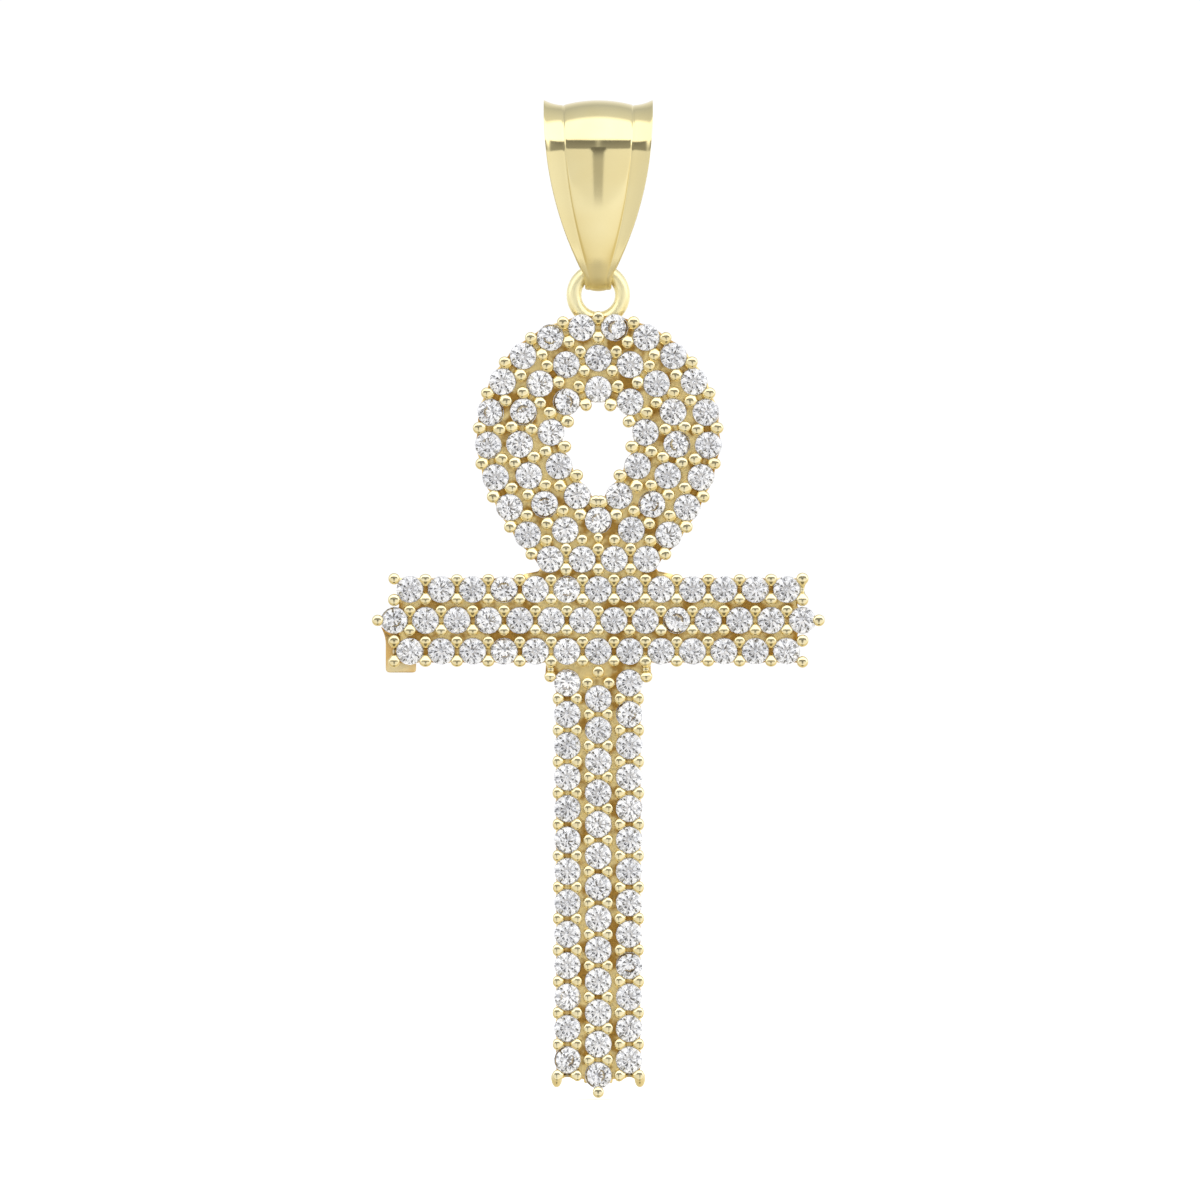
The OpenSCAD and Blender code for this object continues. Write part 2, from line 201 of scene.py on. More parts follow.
class Shape:
    """Points in millimetres and faces that grow into one mesh."""

    def __init__(self):
        self.points, self.faces, self.count = [], [], 0

    def add(self, points, faces):
        points = np.asarray(points, float)
        self.faces += [tuple(i + self.count for i in face) for face in faces]
        self.points.append(points)
        self.count += len(points)

    def add_capped(self, rows):
        """Rows of points as a tube, with a face over its first and its last row."""
        n, last = len(rows[0]), len(rows) - 1
        caps = [tuple(range(n)), tuple(range(last * n, (last + 1) * n))]
        self.add(np.concatenate(rows), grid_faces(len(rows), n) + caps)

    def add_loop(self, rows):
        """Rows of points as a tube whose last row meets the first."""
        self.add(np.concatenate(rows), grid_faces(len(rows), len(rows[0]), closed=True))

    def piece(self, name, body, slot, material, smooth=True, sharp=None):
        mesh = bpy.data.meshes.new(name)
        mesh.from_pydata((np.concatenate(self.points) * MM).tolist(), [], self.faces)
        mesh.validate()
        form = bmesh.new()
        form.from_mesh(mesh)
        bmesh.ops.recalc_face_normals(form, faces=form.faces)
        form.to_mesh(mesh)
        form.free()
        if smooth:
            mesh.shade_smooth()
            if sharp is not None:
                mesh.set_sharp_from_angle(angle=math.radians(sharp))
        obj = bpy.data.objects.new(name, mesh)
        bpy.context.scene.collection.objects.link(obj)
        mesh.materials.append(material)
        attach(obj, body)
        return obj


def grid_faces(rows, columns, closed=False):
    """Faces of a tube whose points are listed row by row. If it is closed, its last row meets the first."""
    faces = []
    for i in range(rows if closed else rows - 1):
        for j in range(columns):
            k, m = (i + 1) % rows, (j + 1) % columns
            faces.append((i * columns + j, i * columns + m, k * columns + m, k * columns + j))
    return faces


def circle(n):
    """The angles of n points round a circle."""
    return np.arange(n) * math.tau / n


def from_front(u, v, h):
    """Points at u across and v up in the front view, h in front of the girdles."""
    return np.stack([u, GIRDLE_Y - h, v], axis=-1)


def smoothstep(x):
    x = np.clip(x, 0, 1)
    return x * x * (3 - 2 * x)


# Materials

def new_material(name):
    material = bpy.data.materials.new(name)
    material.use_nodes = True
    tree = material.node_tree
    return material, tree, tree.nodes["Principled BSDF"]


def noise(tree, scale, detail):
    place = tree.nodes.new("ShaderNodeTexCoord")
    node = tree.nodes.new("ShaderNodeTexNoise")
    node.inputs["Scale"].default_value = scale
    node.inputs["Detail"].default_value = detail
    tree.links.new(place.outputs["Object"], node.inputs["Vector"])
    return node.outputs["Fac"]


def ramp(tree, source, stops, interpolation="EASE"):
    node = tree.nodes.new("ShaderNodeValToRGB")
    node.color_ramp.interpolation = interpolation
    while len(node.color_ramp.elements) < len(stops):
        node.color_ramp.elements.new(0.5)
    for element, (at, color) in zip(node.color_ramp.elements, stops):
        element.position = at
        element.color = (*color, 1)
    tree.links.new(source, node.inputs["Fac"])
    return node.outputs["Color"]


def combined(tree, operation, a, b=None):
    """The output of a math node whose inputs are numbers or other outputs."""
    node = tree.nodes.new("ShaderNodeMath")
    node.operation = operation
    for socket, value in ((node.inputs[0], a), (node.inputs[1], b)):
        if isinstance(value, (int, float)):
            socket.default_value = value
        elif value is not None:
            tree.links.new(value, socket)
    return node.outputs[0]


def mapped(tree, value, start, end, low=0.0, high=1.0, interpolation="LINEAR"):
    """A value that runs from low to high while another one runs from start to end, and holds beyond them."""
    node = tree.nodes.new("ShaderNodeMapRange")
    node.interpolation_type = interpolation
    node.inputs["From Min"].default_value = start
    node.inputs["From Max"].default_value = end
    node.inputs["To Min"].default_value = low
    node.inputs["To Max"].default_value = high
    tree.links.new(value, node.inputs["Value"])
    return node.outputs["Result"]


def growing(tree, axis, start, end, most):
    """A value that grows from 0 where the axis reads start to most where it reads end, in millimetres."""
    place = tree.nodes.new("ShaderNodeTexCoord")
    parts = tree.nodes.new("ShaderNodeSeparateXYZ")
    tree.links.new(place.outputs["Object"], parts.inputs[0])
    return mapped(tree, parts.outputs[axis], start * MM, end * MM, high=most)


def bump(tree, source, height_um, under=None):
    """A surface that rises with the source, on top of the one under it."""
    node = tree.nodes.new("ShaderNodeBump")
    node.inputs["Strength"].default_value = 1.0
    node.inputs["Distance"].default_value = height_um * MICRON
    tree.links.new(source, node.inputs["Height"])
    if under:
        tree.links.new(under, node.inputs["Normal"])
    return node.outputs["Normal"]


# The values that a noise mostly keeps to, and the scale of the polish as a share of the grain's
NOISE_SPAN = (0.3, 0.7)
POLISH_SCALE = 0.4


def gold(name, light, deep, smooth_to, rough_to, grain, bump_um, wave, wave_um, drift=380.0, metallic=1.0,
         limits=NOISE_SPAN, dulled=None, painted_shade=None, shade=None):
    """Gold with a drift in its tone, a varying polish, a fine grain and a slow wave in its surface. It can be
    dulled along an axis, and darkened along an axis as painted shade: each of these gives the axis, the
    start, the end and the most. The shade is the painted tone where it is darkened most."""
    material, tree, shader = new_material(name)
    drift_and_shade = noise(tree, drift, 2.0)
    # Painted shade: the tone is darkened along an axis, down to the shade tone.
    if painted_shade:
        drift_and_shade = combined(tree, "SUBTRACT", drift_and_shade, growing(tree, *painted_shade))
    tone = ramp(tree, drift_and_shade, [(0.0, shade or deep), (limits[0], deep), (limits[1], light)])
    tree.links.new(tone, shader.inputs["Base Color"])
    roughness = mapped(tree, noise(tree, grain * POLISH_SCALE, 4.0), *NOISE_SPAN, smooth_to, rough_to)
    if dulled:
        roughness = combined(tree, "MAXIMUM", roughness, growing(tree, *dulled))
    tree.links.new(roughness, shader.inputs["Roughness"])
    shader.inputs["Metallic"].default_value = metallic
    slow = bump(tree, noise(tree, wave, 1.0), wave_um)
    fine = bump(tree, noise(tree, grain, 3.0), bump_um, slow)
    tree.links.new(fine, shader.inputs["Normal"])
    return material


polished_gold = gold(
    "gold_polished", light=(0.87, 0.765, 0.43), deep=(0.85, 0.73, 0.385), smooth_to=0.05, rough_to=0.1,
    grain=30000.0, bump_um=0.4, wave=500.0, wave_um=18.0, dulled=("Z", -6.6, -7.5, 0.5))
ring_gold = gold(
    "gold_ring", light=(0.99, 0.91, 0.56), deep=(0.97, 0.87, 0.5), smooth_to=0.3, rough_to=0.38,
    grain=6000.0, bump_um=0.5, wave=900.0, wave_um=12.0, metallic=0.7)
# The beads darken towards the back, into their waists and the valleys between them: painted shade.
bead_gold = gold(
    "gold_beads", light=(0.94, 0.845, 0.55), deep=(0.91, 0.785, 0.46), smooth_to=0.05, rough_to=0.1,
    grain=12000.0, bump_um=0.8, wave=1800.0, wave_um=8.0,
    painted_shade=("Y", GIRDLE_Y - 0.05, GIRDLE_Y + 0.2, 0.7), shade=(0.72, 0.62, 0.42))
# The tab darkens towards its top, just under the crossbar's beads: painted shade.
tab_gold = gold(
    "gold_tab", light=(0.97, 0.82, 0.48), deep=(0.82, 0.54, 0.2), smooth_to=0.26, rough_to=0.4,
    grain=5000.0, bump_um=2.0, wave=1500.0, wave_um=20.0, drift=1000.0,
    painted_shade=("Z", BAR_BOTTOM_Z - 0.6, BAR_BOTTOM_Z - 0.1, 0.3))
satin_gold = gold(
    "gold_satin", light=(0.95, 0.81, 0.47), deep=(0.9, 0.72, 0.37), smooth_to=0.16, rough_to=0.3,
    grain=9000.0, bump_um=2.0, wave=1200.0, wave_um=12.0, drift=700.0)
cast_gold = gold(
    "gold_cast", light=(1.0, 0.79, 0.36), deep=(0.5, 0.28, 0.06), smooth_to=0.25, rough_to=0.5,
    grain=6000.0, bump_um=24.0, wave=2500.0, wave_um=30.0, drift=1300.0, limits=(0.38, 0.57))


def stone_material():
    material, tree, shader = new_material("clear_stone")
    shader.inputs["Transmission Weight"].default_value = 1.0
    shader.inputs["IOR"].default_value = 2.15
    shader.inputs["Roughness"].default_value = 0.0
    tint = ramp(tree, noise(tree, 420.0, 1.0), [(0.4, (0.88, 0.885, 0.9)), (0.6, (1.0, 1.0, 1.0))])
    tree.links.new(tint, shader.inputs["Base Color"])
    return material


def girdle_material():
    material, tree, shader = new_material("frosted_shaded_girdle")
    # The girdle is frosted, and its grey is darker still as painted shade of the gap round each stone.
    tone = ramp(tree, noise(tree, 3000.0, 2.0), [(0.3, (0.42, 0.42, 0.46)), (0.62, (0.86, 0.86, 0.89))])
    tree.links.new(tone, shader.inputs["Base Color"])
    shader.inputs["Roughness"].default_value = 0.35
    return material


stone_look = stone_material()
girdle_look = girdle_material()


# Stones

GIRDLE_T = 0.03
GIRDLE_SHOW = 0.028
STAR_R = 0.475
LOWER_R = 0.15
STONE_LEAN = 0.06
STONE_SINK = 0.004


def brilliant():
    """Points and faces of a round brilliant with 57 facets and a thin girdle, facing +Z."""
    crown_slope = (CROWN_H - GIRDLE_T) / (STONE_R - GIRDLE_SHOW - TABLE_R)
    pavilion_slope = (PAVILION_H - GIRDLE_T / 2) / STONE_R
    half = math.pi / 8
    star_z = CROWN_H - (STAR_R * math.cos(half) - TABLE_R) * crown_slope
    lower_z = -PAVILION_H + LOWER_R * math.cos(half) * pavilion_slope
    points = []

    def ring(r, z, n, turn=0.0):
        start = len(points)
        points.extend((r * math.cos(turn + i * 2 * math.pi / n), r * math.sin(turn + i * 2 * math.pi / n), z)
                      for i in range(n))
        return start

    table, star = ring(TABLE_R, CROWN_H, 8), ring(STAR_R, star_z, 8, half)
    upper, lower = ring(STONE_R - GIRDLE_SHOW, GIRDLE_T, 16), ring(STONE_R, -GIRDLE_T / 2, 16)
    lobe = ring(LOWER_R, lower_z, 8, half)
    culet = len(points)
    points.append((0, 0, -PAVILION_H))
    faces = [tuple(table + i for i in range(8))]
    for i in range(8):
        j, before = (i + 1) % 8, (i + 7) % 8
        g, h, k = 2 * i, 2 * i + 1, (2 * i + 2) % 16
        faces += [
            (table + i, star + i, table + j),
            (table + i, star + before, upper + g, star + i),
            (star + i, upper + g, upper + h),
            (star + i, upper + h, upper + k),
            (upper + g, lower + g, lower + h, upper + h),
            (upper + h, lower + h, lower + k, upper + k),
            (lobe + i, lower + h, lower + g),
            (lobe + i, lower + k, lower + h),
            (culet, lobe + i, lower + g, lobe + before),
        ]
    return np.array(points), faces


def stones(name, places, node):
    """Brilliants at some places, each turned and leaning in its own way, with their girdles frosted and
    greyed as painted shade of the gap round each stone.
    """
    shape = Shape()
    points, faces = brilliant()
    frost_and_shade = [
        k for k, face in enumerate(faces) if len(face) == 4 and np.ptp(points[list(face), 2]) < 2 * GIRDLE_T]
    for p in places:
        turn, tip = seeded.uniform(0, math.tau), seeded.uniform(0, math.tau)
        lean = seeded.gauss(0, STONE_LEAN)
        ca, sa = math.cos(turn), math.sin(turn)
        u, v, h = points[:, 0] * ca - points[:, 1] * sa, points[:, 0] * sa + points[:, 1] * ca, points[:, 2]
        h = h + lean * (u * math.cos(tip) + v * math.sin(tip)) - STONE_SINK
        shape.add(from_front(u + p[0], v + p[1], h), faces)
    obj = shape.piece(name, "drop", "stone", stone_look, smooth=False)
    obj.data.materials.append(girdle_look)
    for k, face in enumerate(obj.data.polygons):
        face.material_index = 1 if k % len(faces) in frost_and_shade else 0
    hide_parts(node)


stones("loop_brilliants", loop_points, "loop_stones")
stones("cross_brilliants", cross_points, "cross_stones")


# Beads: each pair between two stones is one form with a waist, whose sides follow the stones

BRIDGE_H = -0.2
BELT_H = 0.16
POST_H = -PLATE_DROP - POST_ROOT
STONE_BITE = 0.035
PAIR_CLEAR = 0.01
WAIST_SHARE = 0.12
WAIST_RISE = 0.24
DOME_POWER = 2.5
END_SHARE = 0.03
BAR_OUTER = 0.82
STEM_OUTER = 0.72
# Depth of a pair's belt under its top at the waist, and how much deeper it lies at the beads
BELT_DEPTH = 0.06
BELT_DEEPER = 0.1
# The skirt from the belt down to the post
BELT_T = 0.03
SKIRT_H = 0.12
SKIRT_TOP = -0.05
SKIRT_IN = 0.6
SKIRT_STEP = 0.02
# A single bead's belt and the flare on its post
LONE_BELT = (0.98, 0.08)
POST_FLARE = (1.1, -0.07)
# How the radii and heights of the beads differ
PAIR_SPREAD = (0.96, 1.04)
LONE_SPREAD = (0.97, 1.04)
TOP_SPREAD = (-0.02, 0.01)
# Places of a pair's sections from the waist out to the middle of a bead and from there to its end
PAIR_STEPS = np.array([0, 0.12, 0.19, 0.27, 0.36, 0.46, 0.56, 0.66, 0.75, 0.83, 0.9, 0.96])
END_STEPS = np.sin(np.radians([0, 15, 30, 44, 57, 69, 79, 86, 90]))
BEAD_SIDES = 20
KEYSTONE_BEAD_R = 0.24
KEYSTONE_BEAD_OUT = 0.17
RIGHT_BRIDGE_H = 0.05
LEFT_BRIDGE_H = -0.4
CORNER_BRIDGE_H = 0.08
CORNER_SPACING = 1.56


def dome(x):
    """Height of a bead's dome at a share x of its radius: flatter on top than a ball."""
    return max(1 - x ** DOME_POWER, 0) ** (1 / DOME_POWER)


def dome_arc(k):
    """Share of the radius and of the height where a dome's outline has the parameter k."""
    return abs(math.cos(k)) ** (2 / DOME_POWER), math.sin(k) ** (2 / DOME_POWER)


PAIR_ARC = [dome_arc(k) for k in np.radians([90, 80, 68, 54, 38, 20, 0])]
LONE_ARC = [dome_arc(k) for k in np.radians([86, 80, 68, 54, 38, 20, 0])]


def prong_pair(shape, a, b, spacing=PITCH, bridge_h=BRIDGE_H, outer=1.0):
    """Beads at a and b that taper towards each other, for stones that lie spacing apart on either side. Each
    bead's outer end reaches a share outer of its radius."""
    middle, reach = (a + b) / 2, np.linalg.norm(b - a) / 2
    along = (b - a) / (2 * reach)
    across = np.array([-along[1], along[0]])
    stations = []
    for sign in (-1, 1):
        r, top = BEAD_R * seeded.uniform(*PAIR_SPREAD), BEAD_H + seeded.uniform(*TOP_SPREAD)
        out = np.concatenate([PAIR_STEPS * reach, reach + r * outer * END_STEPS])
        stations += [(sign * s, s, r, top) for s in (out[:0:-1] if sign < 0 else out)]
    rows = []
    for t, s, r, top in stations:
        past = abs(s - reach) / (r * outer if s > reach else r)
        lobe = max(math.sqrt(max(1 - past ** 2, 0)), END_SHARE)
        free = spacing / 2 - math.sqrt(max(STONE_R ** 2 - s * s, 0)) + STONE_BITE * smoothstep(s / reach)
        w = r * lobe if s > reach else min(max(r * lobe, free - PAIR_CLEAR), r)
        height = (top - BELT_H) * dome(past) + BELT_H
        if s < reach:
            keel = top * (1 - (1 - s / reach) ** 2)
            height = bridge_h + (keel - bridge_h) * smoothstep((s / reach - WAIST_SHARE) / WAIST_RISE)
        belt = min(BELT_H, height - BELT_DEPTH - BELT_DEEPER * smoothstep(s / reach))
        post, low = min(w, POST_R), min(belt - SKIRT_H, SKIRT_TOP)
        half = [(w * u, belt + (height - belt) * v) for u, v in PAIR_ARC]
        half += [(w, belt - BELT_T), ((1 - SKIRT_IN) * w + SKIRT_IN * post, low),
                 (post, min(low - SKIRT_STEP, -PLATE_DROP)), (post, POST_H)]
        q, h = np.array([(-q, h) for q, h in half[::-1]] + half[1:]).T
        rows.append(from_front(middle[0] + along[0] * t + across[0] * q,
                               middle[1] + along[1] * t + across[1] * q, h))
    shape.add_capped(rows)


def single_bead(shape, p, r=BEAD_R):
    """A round bead on its own post."""
    r *= seeded.uniform(*LONE_SPREAD)
    top = BEAD_H + seeded.uniform(*TOP_SPREAD)
    profile = [(r * u, BELT_H + (top - BELT_H) * v) for u, v in LONE_ARC]
    profile += [(r * LONE_BELT[0], BELT_H - LONE_BELT[1]), (POST_R * POST_FLARE[0], POST_FLARE[1]),
                (POST_R, -PLATE_DROP), (POST_R, POST_H)]
    n, turn = BEAD_SIDES, circle(BEAD_SIDES)
    points = [from_front(p[0] + q * np.cos(turn), p[1] + q * np.sin(turn), np.full(n, h)) for q, h in profile]
    points += [from_front(np.array([p[0], p[0]]), np.array([p[1], p[1]]), np.array([top, POST_H]))]
    faces = grid_faces(len(profile), n)
    count = len(profile) * n
    faces += [(i, (i + 1) % n, count) for i in range(n)]
    faces += [(count - n + i, count - n + (i + 1) % n, count + 1) for i in range(n)]
    shape.add(np.concatenate(points), faces)


def row_prongs(shape, row, outer=1.0):
    """A pair of beads between each two stones of a row."""
    for a, b in zip(row, row[1:]):
        gap = np.linalg.norm(b - a)
        side = np.array([-(b - a)[1], (b - a)[0]]) / gap * BEAD_OFFSET
        prong_pair(shape, (a + b) / 2 - side, (a + b) / 2 + side, gap, outer=outer)


def end_prongs(shape, p, d, bridge_h=BRIDGE_H, outer=1.0):
    """A pair of beads past the last stone of a row, on the side where d points."""
    side = np.array([-d[1], d[0]]) * BEAD_OFFSET
    prong_pair(shape, p + d * PITCH / 2 - side, p + d * PITCH / 2 + side, bridge_h=bridge_h, outer=outer)


LEFT, RIGHT, UP, DOWN = (np.array(d, float) for d in ((-1, 0), (1, 0), (0, 1), (0, -1)))
single_reach = STONE_R + BEAD_R - END_BITE
stem_side_x = ROW_GAP + BEAD_OFFSET

# The ends of the crossbar whose two beads stand alone
lone_ends = [p + d * PITCH / 2 + v * BEAD_OFFSET
             for p, d in ((bar_rows[0][0], LEFT), (bar_rows[2][-1], RIGHT)) for v in (UP, DOWN)]

head_beads = Shape()
for row in (outer_ring, middle_ring, inner_ring + [keystone, inner_ring[0]], bottom_row):
    row_prongs(head_beads, row)
for p in bottom_row[1:-1]:
    single_bead(head_beads, p + UP * (STONE_R + BEAD_R))
single_bead(head_beads, keystone + DOWN * (STONE_R + KEYSTONE_BEAD_OUT), KEYSTONE_BEAD_R)
head_beads.piece("loop_beads", "drop", "gold", bead_gold, sharp=50)

cross_beads = Shape()
for row in bar_rows:
    row_prongs(cross_beads, row, BAR_OUTER)
for row in stem_columns:
    row_prongs(cross_beads, row, STEM_OUTER)
end_prongs(cross_beads, bar_rows[0][-1], RIGHT, RIGHT_BRIDGE_H)
end_prongs(cross_beads, bar_rows[2][0], LEFT, LEFT_BRIDGE_H)
for column in (stem_columns[0], stem_columns[2]):
    end_prongs(cross_beads, column[-1], DOWN, outer=STEM_OUTER)
for p in (
    np.array([-bar_mid_half - single_reach, BAR_Z]),
    np.array([bar_mid_half + single_reach, BAR_Z]),
    np.array([0, STEM_FOOT_Z - single_reach]),
    np.array([0, BAR_BOTTOM_Z - STONE_R - BEAD_R - LONE_GAP]),
    stem_columns[1][0] + np.array([-BEAD_OFFSET, PITCH / 2]),
    stem_columns[1][0] + np.array([BEAD_OFFSET, PITCH / 2]),
    *lone_ends,
):
    single_bead(cross_beads, p)
corner_pairs = [
    (np.array([side * (stem_side_x + CORNER_OUT), STEM_TOP_Z + CORNER_RISE]),
     np.array([side * 1.5 * PITCH, BAR_BOTTOM_Z - BEAD_OFFSET])) for side in (-1, 1)]
for corner_bead, bar_bead in corner_pairs:
    prong_pair(cross_beads, corner_bead, bar_bead, spacing=CORNER_SPACING, bridge_h=CORNER_BRIDGE_H)
cross_beads.piece("cross_beads", "drop", "gold", bead_gold, sharp=50)


# Floor plate under the stones: its outline in the front view is a smooth union of the rows, discs and webs

SCALLOP_R = 0.6
BAND_EDGE = 0.5
SEAT_R = 0.49
BLEND = 0.12
CELL = 0.05
EDGE_ROUND = 0.07
SLEEVE_R = POST_R * 1.15
TIGHT_BLEND = 0.05
LIP_RISE = BEAD_R * 4 / 3
OPENING_END = -1.2
CORNER_INSET = 0.06
GRID_MARGIN = 1.6
HOLE_SIDES = 24
HOLE_TEST = 0.985
MOST_SKIPPED = 10
# Discs under the inner beads at the stem's foot: place across, place up from the foot, and radius
FOOT_DISCS = ((0.88, 0, 0.2), (0.7, 0.08, 0.16), (0.66, -0.06, 0.12), (0.57, -0.27, 0.1))
# Rows of points down a light hole: depth behind the plate's front, and share of the seat's radius
SEAT_ROWS = (
    (0.03, 1.0), (0.07, LIGHT_HOLE_R / SEAT_R),
    (PLATE_T - 0.1, LIGHT_HOLE_R / SEAT_R), (PLATE_T - 0.03, 0.97))
EDGE, INNER, HOLE = range(3)


def segment_field(x, z, a, b, r):
    """Distance from a rounded bar between two points."""
    d = b - a
    t = np.clip(((x - a[0]) * d[0] + (z - a[1]) * d[1]) / (d @ d), 0, 1)
    return np.hypot(x - a[0] - t * d[0], z - a[1] - t * d[1]) - r


def polygon_field(x, z, corners):
    """Signed distance from a polygon, below zero inside it."""
    far, inside = np.full(x.shape, 1e9), np.zeros(x.shape, bool)
    for a, b in zip(corners, corners[1:] + corners[:1]):
        a, b = np.array(a), np.array(b)
        far = np.minimum(far, segment_field(x, z, a, b, 0))
        crosses = (a[1] > z) != (b[1] > z)
        with np.errstate(divide="ignore", invalid="ignore"):
            inside ^= crosses & (x < (b[0] - a[0]) * (z - a[1]) / (b[1] - a[1]) + a[0])
    return np.where(inside, -far, far)


def blend(a, b, k=BLEND):
    """Smooth union of two fields."""
    h = np.clip(0.5 + 0.5 * (b - a) / k, 0, 1)
    return b * (1 - h) + a * h - k * h * (1 - h)


def ring_outline(r, low, steps=40):
    """Points from the top of a ring down its right side to the direction low."""
    return [ring_at(r, a) for a in np.linspace(math.pi / 2, low, steps)]


def mirrored(side):
    """A closed outline from its right half, listed from the top down."""
    return [tuple(p) for p in side] + [(-p[0], p[1]) for p in side[::-1]]


def plate_field(x, z):
    """Distance from the plate's outline in the front view, below zero inside it."""
    outer = mirrored(ring_outline(HEAD_R + BAND_EDGE, ring_angle(HEAD_R, outer_len)))
    field = polygon_field(x, z, outer)
    # The opening: its round top and sides follow the inner ring, and its floor lies over the keystone stone
    lip_z = keystone[1] + STONE_R + LIP_RISE
    opening = [p for p in ring_outline(INNER_R - BAND_EDGE, OPENING_END, 60) if p[1] > lip_z]
    field = np.maximum(field, -polygon_field(x, z, mirrored(opening)))
    web_x, bar_x, stem_x = 2 * PITCH + PLATE_EDGE, bar_half + BAND_EDGE, ROW_GAP + BAND_EDGE
    neck = [
        (STONE_R, BOTTOM_ROW_Z + 1), (corner_x, BOTTOM_ROW_Z),
        (corner_x + PLATE_EDGE, BOTTOM_ROW_Z - PLATE_EDGE),
        (web_x, BAR_TOP_Z + STONE_R + WEB_SHOW), (web_x, BAR_TOP_Z)]
    bar = [(bar_x, BAR_TOP_Z + BAND_EDGE), (bar_x, BAR_BOTTOM_Z - BAND_EDGE)]
    stem = [(stem_x, BAR_BOTTOM_Z), (stem_x, STEM_END_Z - BAND_EDGE)]
    for half in (neck, bar, stem):
        field = blend(field, polygon_field(x, z, mirrored(half)))
    for p in all_points:
        field = blend(field, np.hypot(x - p[0], z - p[1]) - SCALLOP_R)
    # Out to the corner beads under the crossbar, and down to the inner beads at the foot of the stem
    corner_edge = stem_side_x + CORNER_OUT - CORNER_INSET
    corner = [(corner_edge, BAR_BOTTOM_Z), (corner_edge, STEM_TOP_Z + CORNER_RISE)]
    field = blend(field, polygon_field(x, z, mirrored(corner)))
    for side in (-1, 1):
        for u, v, r in FOOT_DISCS:
            field = blend(field, np.hypot(x - side * u, z - STEM_FOOT_Z - v) - r, TIGHT_BLEND)
    for p in lone_ends:
        field = blend(field, np.hypot(x - p[0], z - p[1]) - SLEEVE_R)
    # Necks of metal round the posts of the corner beads
    for corner_bead, bar_bead in corner_pairs:
        field = blend(field, segment_field(x, z, corner_bead, bar_bead, SLEEVE_R), TIGHT_BLEND)
    return field


def marched(field, xs, zs, level):
    """Closed outlines where the field crosses a level, as lists of points."""
    f = field - level
    spots, links = {}, {}

    def spot(i, j, k, m):
        key = (i, j, k, m)
        if key not in spots:
            t = f[i, j] / (f[i, j] - f[k, m])
            spots[key] = (xs[i] + t * (xs[k] - xs[i]), zs[j] + t * (zs[m] - zs[j]))
        return key

    inside = f < 0
    busy = inside[:-1, :-1].astype(int) + inside[1:, :-1] + inside[1:, 1:] + inside[:-1, 1:]
    for i, j in zip(*np.nonzero((busy > 0) & (busy < 4))):
        i, j = int(i), int(j)
        corners = [(i, j), (i + 1, j), (i + 1, j + 1), (i, j + 1)]
        cuts = []
        for c in range(4):
            (a, b), (d, e) = corners[c], corners[(c + 1) % 4]
            if inside[a, b] != inside[d, e]:
                low, high = sorted([(a, b), (d, e)])
                cuts.append((spot(*low, *high), bool(inside[a, b])))
        starts = [c for c, was_in in cuts if was_in]
        ends = [c for c, was_in in cuts if not was_in]
        for n, start in enumerate(starts):
            links[start] = ends[n]
    loops = []
    while links:
        first = next(iter(links))
        loop, at = [], first
        while at in links:
            loop.append(spots[at])
            at = links.pop(at)
        if len(loop) > 8:
            loops.append(np.array(loop))
    return loops


def thinned(loop, slack=0.004):
    """An outline with fewer points, none further than slack from it."""
    keep = [0]
    n = len(loop)
    start = 0
    while start < n - 1:
        end = min(start + MOST_SKIPPED, n - 1)
        while end > start + 1:
            d = loop[end] - loop[start]
            between = loop[start + 1:end] - loop[start]
            off = np.abs(between[:, 0] * d[1] - between[:, 1] * d[0]) / max(np.hypot(*d), 1e-9)
            if off.max() <= slack:
                break
            end -= 1
        keep.append(end)
        start = end
    if keep[-1] == n - 1 and np.hypot(*(loop[-1] - loop[0])) < CELL / 4:
        keep.pop()
    return loop[keep]


def sampled(field, xs, zs, spots):
    """Values of a field at some places between the points of its grid."""
    i = np.clip((spots[:, 0] - xs[0]) / CELL, 0, len(xs) - 1.001)
    j = np.clip((spots[:, 1] - zs[0]) / CELL, 0, len(zs) - 1.001)
    i0, j0 = i.astype(int), j.astype(int)
    fi, fj = i - i0, j - j0
    return (field[i0, j0] * (1 - fi) * (1 - fj) + field[i0 + 1, j0] * fi * (1 - fj)
            + field[i0, j0 + 1] * (1 - fi) * fj + field[i0 + 1, j0 + 1] * fi * fj)


